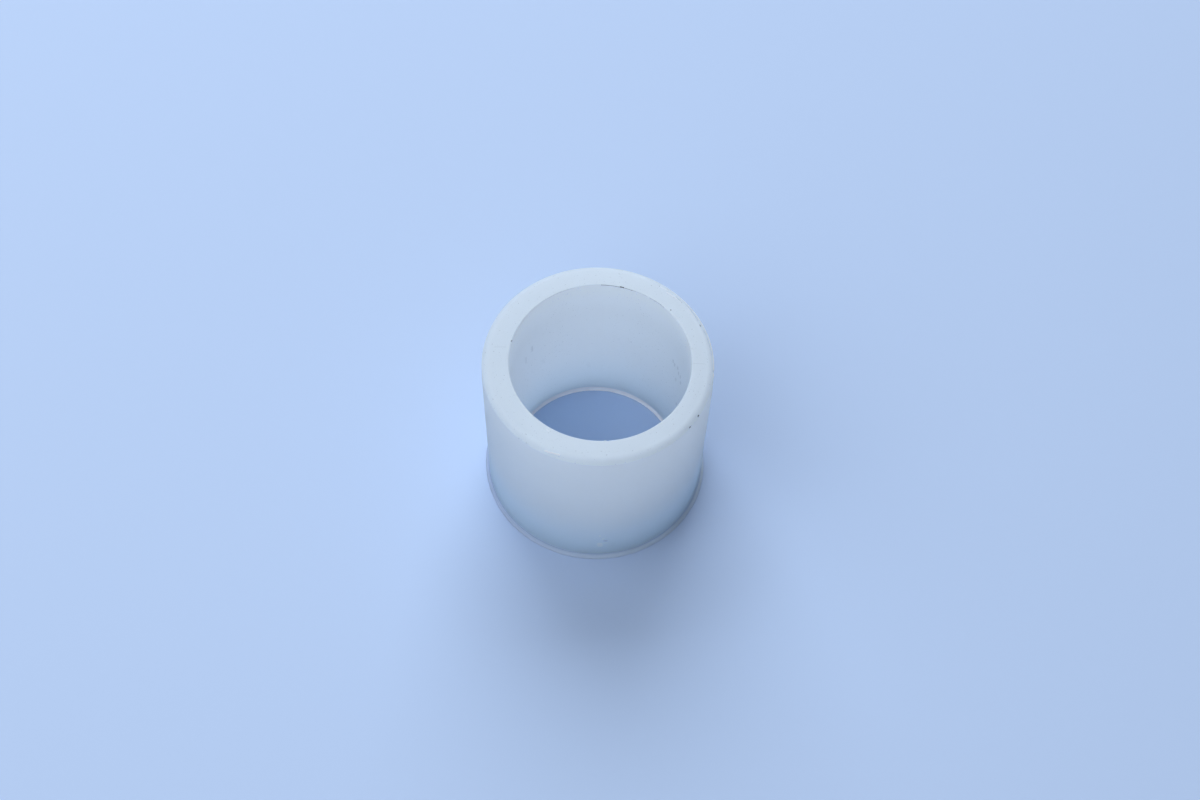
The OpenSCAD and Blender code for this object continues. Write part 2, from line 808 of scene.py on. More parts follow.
    def bore_dabs(self) -> List[Mark]:
        """Returns the dabs as marks."""
        look = (self.dab_width, self.dab_strength, self.dab_ragged)
        return [
            Mark(MarkKind.SMUDGE, Zone.BORE, (angle, angle), (top, top - self.dab_height), *look)
            for angle, top in self.dabs
        ]

    def marks(self) -> List[Mark]:
        """Returns all marks."""
        groups = (self.bore_edge, self.nose, self.crown, self.wall, self.bore, self.bore_dabs())
        return [mark for group in groups for mark in group]


@dataclass(frozen=True)
class TurnedTree:
    """Geometry Nodes tree that turns a half section round the bore axis.

    Attributes:
        placing: Finds points on the sleeve.
        nicks: Small dents and burrs that the turned shape gets.
        slack: How far a face may lie off a wall and still count as part of it.
        rim_depth: How far below its edge the crown's finish reaches.
        mouth_share: How high on the bore's round edge the nose's finish starts, 1 for its top.
        merge_gap: Distance within which points become one, to close the seam.
    """

    placing: Placing
    nicks: Tuple[Nick, ...]
    slack: float = 0.02 * MM
    rim_depth: float = 0.1 * MM
    mouth_share: float = 0.7
    merge_gap: float = 0.002 * MM

    def interface(self, tree: bpy.types.NodeTree) -> None:
        """Adds the tree's named inputs and its output.

        Args:
            tree: The tree.
        """
        sockets = {
            "Section": "NodeSocketObject",
            "Segments": "NodeSocketInt",
            "Lip Unevenness": "NodeSocketFloat",
            "Bore Lean": "NodeSocketFloat",
            **{face.name: "NodeSocketMaterial" for face in Face},
        }
        for name, kind in sockets.items():
            tree.interface.new_socket(name=name, in_out="INPUT", socket_type=kind)
        tree.interface.new_socket(name="Geometry", in_out="OUTPUT", socket_type="NodeSocketGeometry")

    def turned(self, sketch: NodeSketch, inputs: bpy.types.Node) -> Socket:
        """Turns the section into a closed skin.

        Args:
            sketch: The tree to draw in.
            inputs: The tree's input node.

        Returns:
            The skin's geometry socket.
        """
        info = sketch.add("GeometryNodeObjectInfo", transform_space="ORIGINAL")
        sketch.feed(info.inputs["Object"], inputs.outputs["Section"])
        section = info.outputs["Geometry"]
        size = sketch.add("GeometryNodeAttributeDomainSize", component="MESH")
        sketch.feed(size.inputs["Geometry"], section)
        count = size.outputs["Point Count"]

        grid = sketch.add("GeometryNodeMeshGrid")
        sketch.feed(grid.inputs["Vertices X"], sketch.math("ADD", inputs.outputs["Segments"], 1.0))
        sketch.feed(grid.inputs["Vertices Y"], sketch.math("ADD", count, 1.0))

        across, along, _ = sketch.split(sketch.add("GeometryNodeInputPosition").outputs[0])
        angle = sketch.math("MULTIPLY", sketch.math("ADD", across, 0.5), math.tau)
        step = sketch.math("ROUND", sketch.math("MULTIPLY", sketch.math("ADD", along, 0.5), count))
        picked = sketch.add("GeometryNodeSampleIndex", data_type="FLOAT_VECTOR", domain="POINT")
        sketch.feed(picked.inputs["Geometry"], section)
        sketch.feed(picked.inputs["Value"], sketch.add("GeometryNodeInputPosition").outputs[0])
        sketch.feed(picked.inputs["Index"], sketch.math("MODULO", step, count))
        radius, _, height = sketch.split(picked.outputs["Value"])

        spoke = sketch.joined(sketch.math("COSINE", angle), sketch.math("SINE", angle), 0.0)
        lean = self.lean(sketch, inputs, radius, height)
        radius = self.uneven(sketch, inputs, spoke, radius)
        place = sketch.vector("ADD", sketch.scaled(spoke, radius), sketch.joined(lean, 0.0, height))

        moved = sketch.add("GeometryNodeSetPosition")
        sketch.feed(moved.inputs["Geometry"], grid.outputs["Mesh"])
        sketch.feed(moved.inputs["Position"], place)
        closed = sketch.add("GeometryNodeMergeByDistance")
        sketch.feed(closed.inputs["Geometry"], moved.outputs["Geometry"])
        sketch.feed(closed.inputs["Distance"], self.merge_gap)
        return closed.outputs["Geometry"]

    def uneven(self, sketch: NodeSketch, inputs: bpy.types.Node, spoke: Socket, radius: Socket) -> Socket:
        """Makes the flash at the foot uneven round both edges.

        Args:
            sketch: The tree to draw in.
            inputs: The tree's input node.
            spoke: Direction out from the axis.
            radius: Radius of the plain section.

        Returns:
            The uneven radius.
        """
        s, uneven = self.placing.sizes, self.placing.uneven
        lip_share = sketch.ramp(radius, s.sleeve_r, s.lip_r, smooth=False)
        burr_share = sketch.ramp(radius, s.bore_r, s.bore_r - uneven.burr, smooth=False)
        coarse = sketch.swing(spoke, uneven.coarse)
        fine = sketch.swing(spoke, uneven.fine)
        wave = sketch.math("MULTIPLY_ADD", fine, uneven.fine_share, coarse)
        inward = sketch.math("MULTIPLY", sketch.math("ABSOLUTE", wave), -1.0)
        reach = sketch.math("MULTIPLY", inward, inputs.outputs["Lip Unevenness"])
        share = sketch.math("SUBTRACT", lip_share, burr_share)
        return sketch.math("MULTIPLY_ADD", reach, share, radius)

    def lean(self, sketch: NodeSketch, inputs: bpy.types.Node, radius: Socket, height: Socket) -> Socket:
        """Leans the bore towards the nose.

        Args:
            sketch: The tree to draw in.
            inputs: The tree's input node.
            radius: Radius of the plain section.
            height: Height of the section.

        Returns:
            How far the point moves along +X.
        """
        s = self.placing.sizes
        share = sketch.ramp(radius, s.nose_flat_r, s.mouth_r, smooth=False)
        rise = sketch.math("DIVIDE", height, s.length)
        return sketch.math("MULTIPLY", sketch.math("MULTIPLY", share, rise), inputs.outputs["Bore Lean"])

    def nicked(self, sketch: NodeSketch, geometry: Socket) -> Socket:
        """Presses the nicks in and raises the burrs.

        Args:
            sketch: The tree to draw in.
            geometry: The skin.

        Returns:
            The nicked skin.
        """
        for nick in self.nicks:
            position = sketch.add("GeometryNodeInputPosition").outputs[0]
            normal = sketch.add("GeometryNodeInputNormal").outputs[0]
            gap = sketch.vector("DISTANCE", position, self.placing.point(nick.zone, nick.angle, nick.reach))
            share = sketch.ramp(gap, nick.radius * MM, 0.0)
            push = sketch.math("MULTIPLY", share, -nick.depth * MM)
            moved = sketch.add("GeometryNodeSetPosition")
            sketch.feed(moved.inputs["Geometry"], geometry)
            sketch.feed(moved.inputs["Offset"], sketch.scaled(normal, push))
            geometry = moved.outputs["Geometry"]
        return geometry

    def selection(self, sketch: NodeSketch, face: Face) -> Value:
        """Picks the polygons of a face, with later faces drawn over earlier ones.

        Args:
            sketch: The tree to draw in.
            face: The face.

        Returns:
            Whether a polygon lies on it.
        """
        s = self.placing.sizes
        x, y, height = sketch.split(sketch.add("GeometryNodeInputPosition").outputs[0])
        radius = sketch.vector("LENGTH", sketch.joined(x, y, 0.0))
        if face is Face.BORE:
            return sketch.math("LESS_THAN", radius, s.middle_r)
        if face is Face.NOSE:
            inside = sketch.math("LESS_THAN", radius, s.middle_r)
            edge = self.placing.crown.edge_z - self.rim_depth
            mouth = s.length - (1.0 - self.mouth_share) * self.placing.uneven.mouth
            start = sketch.math("MULTIPLY_ADD", inside, mouth - edge, edge)
            return sketch.math("GREATER_THAN", height, start)
        if face is Face.LIP:
            outside = sketch.math("GREATER_THAN", radius, s.sleeve_r + self.slack)
            return sketch.math("MULTIPLY", outside, sketch.math("LESS_THAN", height, s.wall_from))
        if face is Face.BURR:
            inside = sketch.math("LESS_THAN", radius, s.bore_r + self.slack)
            low = sketch.math("LESS_THAN", height, self.placing.uneven.burr_h)
            return sketch.math("MULTIPLY", inside, low)
        return True

    def build(self, name: str) -> bpy.types.NodeTree:
        """Builds the tree.

        Args:
            name: Name of the new tree.

        Returns:
            The tree, ready for a modifier.
        """
        tree = bpy.data.node_groups.new(name, "GeometryNodeTree")
        tree.is_modifier = True
        self.interface(tree)
        sketch = NodeSketch(tree)
        inputs = sketch.add("NodeGroupInput")
        skin = self.nicked(sketch, self.turned(sketch, inputs))
        smooth = sketch.add("GeometryNodeSetShadeSmooth")
        sketch.feed(smooth.inputs["Geometry"], skin)
        whole = sketch.add("GeometryNodeRealizeInstances")
        sketch.feed(whole.inputs["Geometry"], smooth.outputs["Geometry"])
        geometry = whole.outputs["Geometry"]
        for face in (Face.WALL, Face.BORE, Face.NOSE, Face.LIP, Face.BURR):
            dressed = sketch.add("GeometryNodeSetMaterial")
            sketch.feed(dressed.inputs["Geometry"], geometry)
            sketch.feed(dressed.inputs["Selection"], self.selection(sketch, face))
            sketch.feed(dressed.inputs["Material"], inputs.outputs[face.name])
            geometry = dressed.outputs["Geometry"]
        outputs = sketch.add("NodeGroupOutput")
        sketch.feed(outputs.inputs["Geometry"], geometry)
        return tree


class SocketKind(Enum):
    """Kinds of socket that a shared effect takes in or puts out."""

    VALUE = "NodeSocketFloat"
    PLACE = "NodeSocketVector"


@dataclass(frozen=True)
class Effects:
    """Shader node groups that the finishes share.

    Attributes:
        unrolled: The surface point as a run round the axis, a radius and a height.
        streak: Mask of one mark with a wandering edge.
        cloud: Tone of the milky plastic, about 1.
        grain: Height of the moulded skin with its draw lines, and a change of gloss.
        specks: Mask of fine specks of dust.
        worn: Mask of the crown's whitened edge, partly handling wear and partly painted light.

    The class also keeps the grain of each pattern and how much each one counts.
    """

    BROAD_CLOUD: ClassVar[Noise] = Noise(130.0, 2.0, 0.11)
    FINE_CLOUD: ClassVar[Noise] = Noise(900.0, 1.0, 0.12)
    FINE_CLOUD_SHARE: ClassVar[float] = 0.45
    DRAWN_LINES: ClassVar[Noise] = Noise(900.0, 3.0, 0.21)
    LINE_STRETCH: ClassVar[float] = 0.02
    SKIN: ClassVar[Noise] = Noise(2600.0, 2.0, 0.22)
    GLOSS_PATCHES: ClassVar[Noise] = Noise(420.0, 2.0, 0.23)
    GLOSS_LINES: ClassVar[float] = 0.4
    WORN_LIT_PATCHES: ClassVar[Noise] = Noise(600.0, 2.0, 0.24)
    WORN_LIT_SWING: ClassVar[float] = 0.25
    WORN_LIT_LEVEL: ClassVar[float] = 0.9
    WORN_LIT_FULL: ClassVar[float] = 0.5
    STREAK_CORE: ClassVar[float] = 0.35
    SPECK_CORE: ClassVar[float] = 0.4
    LEAST_SQUARE: ClassVar[float] = 1e-12

    unrolled: bpy.types.NodeTree
    streak: bpy.types.NodeTree
    cloud: bpy.types.NodeTree
    grain: bpy.types.NodeTree
    specks: bpy.types.NodeTree
    worn: bpy.types.NodeTree

    @classmethod
    def build(cls, sizes: SleeveSizes, crown: Crown) -> "Effects":
        """Builds every group once.

        Args:
            sizes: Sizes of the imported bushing.
            crown: The crown of the nose.

        Returns:
            The groups.
        """
        unrolled = cls.unrolled_group(sizes.middle_r)
        return cls(
            unrolled=unrolled,
            streak=cls.streak_group(),
            cloud=cls.cloud_group(),
            grain=cls.grain_group(unrolled),
            specks=cls.specks_group(),
            worn=cls.worn_and_lit_group(crown),
        )

    @staticmethod
    def begun(
        name: str, takes: Dict[str, SocketKind], gives: Dict[str, SocketKind]
    ) -> Tuple[NodeSketch, bpy.types.Node, bpy.types.Node]:
        """Starts a shader node group.

        Args:
            name: Name of the group.
            takes: Its inputs.
            gives: Its outputs.

        Returns:
            The sketch to draw in, and the group's input and output nodes.
        """
        tree = bpy.data.node_groups.new(name, "ShaderNodeTree")
        for way, sockets in (("INPUT", takes), ("OUTPUT", gives)):
            for label, kind in sockets.items():
                tree.interface.new_socket(name=label, in_out=way, socket_type=kind.value)
        sketch = NodeSketch(tree)
        return sketch, sketch.add("NodeGroupInput"), sketch.add("NodeGroupOutput")

    @classmethod
    def unrolled_group(cls, middle_r: float) -> bpy.types.NodeTree:
        """Builds the group that unrolls the surface.

        Args:
            middle_r: Radius that turns an angle into a run.

        Returns:
            The node group.
        """
        sketch, _, out = cls.begun("unrolled_place", {}, {"Place": SocketKind.PLACE})
        x, y, z = sketch.split(sketch.add("ShaderNodeTexCoord").outputs["Object"])
        run = sketch.math("MULTIPLY", sketch.math("ARCTAN2", y, x), middle_r)
        radius = sketch.vector("LENGTH", sketch.joined(x, y, 0.0))
        sketch.feed(out.inputs["Place"], sketch.joined(run, radius, z))
        return sketch.tree

    @classmethod
    def streak_group(cls) -> bpy.types.NodeTree:
        """Builds the group that masks one mark along a straight run of the unrolled surface.

        Returns:
            The node group.
        """
        takes = {name: SocketKind.PLACE for name in ("Place", "Start", "End")}
        takes.update({name: SocketKind.VALUE for name in ("Width", "Ragged", "Strength", "Wander")})
        sketch, given, out = cls.begun("streak_mask", takes, {"Mask": SocketKind.VALUE})
        take = given.outputs
        along = sketch.vector("SUBTRACT", take["End"], take["Start"])
        offset = sketch.vector("SUBTRACT", take["Place"], take["Start"])
        square = sketch.math("MAXIMUM", sketch.vector("DOT_PRODUCT", along, along), cls.LEAST_SQUARE)
        share = sketch.math("DIVIDE", sketch.vector("DOT_PRODUCT", offset, along), square, clamp=True)
        gap = sketch.vector("DISTANCE", offset, sketch.scaled(along, share))
        share_of_width = sketch.math("MULTIPLY_ADD", take["Wander"], take["Ragged"], 1.0)
        edge = sketch.math("MULTIPLY", take["Width"], share_of_width)
        core = sketch.math("MULTIPLY", edge, cls.STREAK_CORE)
        mask = sketch.math("MULTIPLY", sketch.ramp(gap, edge, core), take["Strength"])
        sketch.feed(out.inputs["Mask"], mask)
        return sketch.tree

    @classmethod
    def cloud_group(cls) -> bpy.types.NodeTree:
        """Builds the group for the milky plastic's cloudy tone.

        Returns:
            The node group.
        """
        sketch, given, out = cls.begun("milky_cloud", {"Depth": SocketKind.VALUE}, {"Tone": SocketKind.VALUE})
        place = sketch.add("ShaderNodeTexCoord").outputs["Object"]
        broad = sketch.swing(place, cls.BROAD_CLOUD)
        fine = sketch.swing(place, cls.FINE_CLOUD)
        swing = sketch.math("MULTIPLY_ADD", fine, cls.FINE_CLOUD_SHARE, broad)
        sketch.feed(out.inputs["Tone"], sketch.math("MULTIPLY_ADD", swing, given.outputs["Depth"], 1.0))
        return sketch.tree

    @classmethod
    def grain_group(cls, unrolled: bpy.types.NodeTree) -> bpy.types.NodeTree:
        """Builds the group for the moulded skin and the lines that the mould's core has drawn along it.

        Args:
            unrolled: The group that unrolls the surface.

        Returns:
            The node group.
        """
        takes = {"Grain": SocketKind.VALUE, "Draw Lines": SocketKind.VALUE}
        gives = {"Height": SocketKind.VALUE, "Gloss": SocketKind.VALUE, "Lines": SocketKind.VALUE}
        sketch, given, out = cls.begun("moulded_skin", takes, gives)
        place = sketch.add("ShaderNodeTexCoord").outputs["Object"]
        run, _, height = sketch.split(sketch.effect(unrolled, {}).outputs["Place"])
        drawn = sketch.joined(run, 0.0, sketch.math("MULTIPLY", height, cls.LINE_STRETCH))
        lines = sketch.swing(drawn, cls.DRAWN_LINES)
        skin = sketch.swing(place, cls.SKIN)
        patches = sketch.swing(place, cls.GLOSS_PATCHES)
        raised = sketch.math("MULTIPLY", lines, given.outputs["Draw Lines"])
        sketch.feed(out.inputs["Height"], sketch.math("MULTIPLY_ADD", skin, given.outputs["Grain"], raised))
        sketch.feed(out.inputs["Gloss"], sketch.math("MULTIPLY_ADD", lines, cls.GLOSS_LINES, patches))
        sketch.feed(out.inputs["Lines"], lines)
        return sketch.tree

    @classmethod
    def specks_group(cls) -> bpy.types.NodeTree:
        """Builds the group for fine specks of dust.

        Returns:
            The node group.
        """
        takes = {name: SocketKind.VALUE for name in ("Scale", "Size", "Share")}
        sketch, given, out = cls.begun("dust_specks", takes, {"Mask": SocketKind.VALUE})
        cells = sketch.add("ShaderNodeTexVoronoi", feature="F1")
        sketch.feed(cells.inputs["Vector"], sketch.add("ShaderNodeTexCoord").outputs["Object"])
        sketch.feed(cells.inputs["Scale"], given.outputs["Scale"])
        size = sketch.math("MULTIPLY", given.outputs["Size"], given.outputs["Scale"])
        core = sketch.math("MULTIPLY", size, cls.SPECK_CORE)
        spot = sketch.ramp(cells.outputs["Distance"], size, core)
        pick, _, _ = sketch.split(cells.outputs["Color"])
        kept = sketch.math("LESS_THAN", pick, given.outputs["Share"])
        sketch.feed(out.inputs["Mask"], sketch.math("MULTIPLY", spot, kept))
        return sketch.tree

    @classmethod
    def worn_and_lit_group(cls, crown: Crown) -> bpy.types.NodeTree:
        """Builds the group for the crown's whitened edge, partly wear and partly painted light, strongest
        towards one side.

        Args:
            crown: The crown of the nose.

        Returns:
            The node group.
        """
        sketch, given, out = cls.begun("worn_edge", {"Place": SocketKind.PLACE}, {"Mask": SocketKind.VALUE})
        _, radius, _ = sketch.split(given.outputs["Place"])
        outer = sketch.ramp(radius, crown.flat_r, crown.edge_r, smooth=False)
        place = sketch.add("ShaderNodeTexCoord").outputs["Object"]
        turn = math.radians(crown.brightened_towards)
        across = sketch.vector("DOT_PRODUCT", place, (math.cos(turn), math.sin(turn), 0.0))
        side = sketch.ramp(across, -crown.edge_r, cls.WORN_LIT_FULL * crown.edge_r, smooth=False)
        patches = sketch.swing(given.outputs["Place"], cls.WORN_LIT_PATCHES)
        patchy = sketch.math("MULTIPLY_ADD", patches, cls.WORN_LIT_SWING, cls.WORN_LIT_LEVEL)
        amount = sketch.math("MULTIPLY", side, patchy)
        sketch.feed(out.inputs["Mask"], sketch.math("MULTIPLY", outer, amount))
        return sketch.tree


@dataclass(frozen=True)
class Plastic:
    """Milky white plastic that lets light through, with dirt and handling marks on it, and painted light and
    shade.

    Attributes:
        name: Start of the material's name.
        base: Colour of the surface.
        through: Colour of the light that comes through.
        through_share: Share of the light that comes through, 0 for an opaque finish.
        painted_foot_shading: What the colour is multiplied by at the foot, as painted light and shade: bluer
            and lighter on the wall, darker in the bore.
        foot_height: Height at which that tint has faded out.
        sides: What the colour is multiplied by at the far -X and +X sides, as painted light and shade.
        painted_nose_light: How much lighter the plastic is painted close to the nose, as painted light.
        painted_nose_light_depth: Depth below the nose at which that painted light has faded out.
        cloud_depth: How much the tone varies.
        line_depth: How much the drawn lines vary it.
        crown_wear_and_light: What the crown's whitened edge multiplies the colour by, partly wear and partly
            painted light.
        roughness: Roughness of the skin.
        specular: How strongly the skin reflects, 0.5 for common plastic.
        gloss_swing: How much the roughness varies.
        grain: Height of the skin's grain.
        bump: Strength of the bump.
        bump_depth: Depth of the bump.
        scuff_height: How far a scuff stands up.
        dirt: Colour that dirt leaves of the plastic's own.
        smudge: Colour that a smudge leaves of it.
        scuff: What a scuff multiplies the colour by.
        draw_lines: Height of the drawn lines.
        mark_roughness: How much rougher the skin is under dirt and scuffs.
        mark_wander: How the edges of marks wander.
        speck_scale: How many specks could lie along a metre.
        speck_size: Radius of a speck.
        speck_share: Share of them that are there.
        speck_strength: How dark a speck is, 1 for dirt.
    """

    name: str = "natural_white"
    base: Colour = (0.69, 0.79, 0.90)
    through: Colour = (0.93, 0.95, 0.965)
    through_share: float = 0.6
    # Painted light: the wall's foot is painted bluer and lighter.
    painted_foot_shading: Colour = (0.96, 1.06, 1.12)
    foot_height: float = 15.0 * MM
    sides: Tuple[Colour, ...] = ()
    # Painted light: a little lighter towards the nose.
    painted_nose_light: float = 0.03
    painted_nose_light_depth: float = 7.0 * MM
    cloud_depth: float = 0.03
    line_depth: float = 0.012
    crown_wear_and_light: Colour = (1.19, 1.18, 1.17)
    roughness: float = 0.42
    specular: float = 0.3
    gloss_swing: float = 0.07
    grain: float = 0.35
    bump: float = 0.12
    bump_depth: float = 0.02 * MM
    scuff_height: float = 0.05 * MM
    dirt: Colour = (0.03, 0.032, 0.036)
    smudge: Colour = (0.30, 0.32, 0.35)
    scuff: Colour = (1.20, 1.14, 1.13)
    draw_lines: float = 0.5
    mark_roughness: float = 0.25
    mark_wander: Noise = Noise(5200.0, 1.0, 0.31)
    speck_scale: float = 1000.0
    speck_size: float = 0.07 * MM
    speck_share: float = 0.001
    speck_strength: float = 0.2

    def build(
        self, face: Face, effects: Effects, placing: Placing, marks: Sequence[Mark]
    ) -> bpy.types.Material:
        """Builds the finish of one face.

        Args:
            face: The face that it goes on.
            effects: The shared effects.
            placing: Finds points on the sleeve.
            marks: All marks, of which the face takes its own.

        Returns:
            The material.
        """
        material = bpy.data.materials.new(f"{self.name}_{face.value}")
        material.use_nodes = True
        sketch = NodeSketch(material.node_tree)
        shader = material.node_tree.nodes["Principled BSDF"]
        shader.inputs["Specular IOR Level"].default_value = self.specular
        place = sketch.effect(effects.unrolled, {}).outputs["Place"]
        skin = sketch.effect(effects.grain, {"Grain": self.grain, "Draw Lines": self.draw_lines})
        own = [mark for mark in marks if face in placing.faces(mark.zone, mark.reach[0])]
        masks = self.masks(sketch, effects, placing, place, own)
        marks_and_painted_light = self.marks_and_painted_light(sketch, placing, place, masks)
        if face is Face.NOSE:
            # Crown edge whitened partly by wear and partly with painted light on its shaded right front.
            worn = sketch.effect(effects.worn, {"Place": place}).outputs["Mask"]
            marks_and_painted_light = sketch.mixed(worn, marks_and_painted_light, self.crown_wear_and_light, "MULTIPLY")
        # Painted light and shade: one side is painted darker and the other lighter.
        if self.sides:
            x, _, _ = sketch.split(sketch.add("ShaderNodeTexCoord").outputs["Object"])
            across = sketch.ramp(x, -placing.sizes.lip_r, placing.sizes.lip_r, smooth=False)
            marks_and_painted_light = sketch.mixed(1.0, marks_and_painted_light, sketch.mixed(across, *self.sides), "MULTIPLY")

        tone = sketch.effect(effects.cloud, {"Depth": self.cloud_depth}).outputs["Tone"]
        tone = sketch.math("MULTIPLY_ADD", skin.outputs["Lines"], self.line_depth, tone)
        milky = sketch.mixed(1.0, self.base, sketch.joined(tone, tone, tone), "MULTIPLY")
        sketch.feed(shader.inputs["Base Color"], sketch.mixed(1.0, milky, marks_and_painted_light, "MULTIPLY"))

        rough = sketch.math("MULTIPLY_ADD", skin.outputs["Gloss"], self.gloss_swing, self.roughness)
        worn = sketch.most([masks[MarkKind.SCUFF], masks[MarkKind.DIRT]])
        rough = sketch.math("MULTIPLY_ADD", worn, self.mark_roughness, rough, clamp=True)
        sketch.feed(shader.inputs["Roughness"], rough)
        bump = sketch.add("ShaderNodeBump")
        bump.inputs["Strength"].default_value = self.bump
        bump.inputs["Distance"].default_value = self.bump_depth
        sketch.feed(bump.inputs["Height"], skin.outputs["Height"])
        raised = sketch.add("ShaderNodeBump")
        raised.inputs["Distance"].default_value = self.scuff_height
        sketch.feed(raised.inputs["Height"], masks[MarkKind.SCUFF])
        sketch.feed(raised.inputs["Normal"], bump.outputs["Normal"])
        sketch.feed(shader.inputs["Normal"], raised.outputs["Normal"])
        if self.through_share:
            self.let_through(sketch, shader, marks_and_painted_light)
        return material

    def let_through(self, sketch: NodeSketch, shader: bpy.types.Node, marks_and_painted_light: Socket) -> None:
        """Mixes the light that comes through into the finish.

        Args:
            sketch: The material's tree.
            shader: The surface.
            marks_and_painted_light: The colour that the plastic is multiplied by: its marks, and painted
                light and shade.
        """
        inner = sketch.add("ShaderNodeBsdfTranslucent")
        sketch.feed(inner.inputs["Color"], sketch.mixed(1.0, self.through, marks_and_painted_light, "MULTIPLY"))
        both = sketch.add("ShaderNodeMixShader")
        both.inputs[0].default_value = self.through_share
        sketch.feed(both.inputs[1], shader.outputs["BSDF"])
        sketch.feed(both.inputs[2], inner.outputs["BSDF"])
        sketch.feed(sketch.tree.nodes["Material Output"].inputs["Surface"], both.outputs["Shader"])

    def masks(
        self, sketch: NodeSketch, effects: Effects, placing: Placing, place: Socket, marks: Sequence[Mark]
    ) -> Dict[MarkKind, Value]:
        """Draws the marks of one face.

        Args:
            sketch: The material's tree.
            effects: The shared effects.
            placing: Finds points on the sleeve.
            place: The unrolled surface.
            marks: The marks to draw.

        Returns:
            The mask of each kind of mark.
        """
        dust = {"Scale": self.speck_scale, "Size": self.speck_size, "Share": self.speck_share}
        specks = sketch.effect(effects.specks, dust).outputs["Mask"]
        found: Dict[MarkKind, List[Socket]] = {kind: [] for kind in MarkKind}
        found[MarkKind.DIRT].append(sketch.math("MULTIPLY", specks, self.speck_strength))
        wander = sketch.swing(place, self.mark_wander)
        for mark in marks:
            values = {
                "Place": place,
                "Wander": wander,
                "Start": placing.unrolled(mark.zone, mark.angles[0], mark.reach[0]),
                "End": placing.unrolled(mark.zone, mark.angles[1], mark.reach[1]),
                "Width": mark.width * MM,
                "Ragged": mark.ragged,
                "Strength": mark.strength,
            }
            found[mark.kind].append(sketch.effect(effects.streak, values).outputs["Mask"])
        return {kind: sketch.most(masks) for kind, masks in found.items()}

    def marks_and_painted_light(
        self, sketch: NodeSketch, placing: Placing, place: Socket, masks: Dict[MarkKind, Value]
    ) -> Socket:
        """Draws what changes the plastic's tone: painted light and shade at the foot, painted light near the
        nose, and the marks.

        Args:
            sketch: The material's tree.
            placing: Finds points on the sleeve.
            place: The unrolled surface.
            masks: The mask of each kind of mark.

        Returns:
            The colour that the plastic is multiplied by.
        """
        height = sketch.split(place)[2]
        top = placing.sizes.length
        # Painted light, lighter towards the nose.
        light = sketch.math("MULTIPLY_ADD", sketch.ramp(height, top - self.painted_nose_light_depth, top), self.painted_nose_light, 1.0)
        # Painted light and shade: the colour fades to the painted shading towards the foot.
        foot = sketch.ramp(height, self.foot_height, 0.0)
        marks_and_painted_light = sketch.mixed(foot, sketch.joined(light, light, light), self.painted_foot_shading)
        marks_and_painted_light = sketch.mixed(masks[MarkKind.SCUFF], marks_and_painted_light, self.scuff, "MULTIPLY")
        marks_and_painted_light = sketch.mixed(masks[MarkKind.SMUDGE], marks_and_painted_light, self.smudge)
        return sketch.mixed(masks[MarkKind.DIRT], marks_and_painted_light, self.dirt)


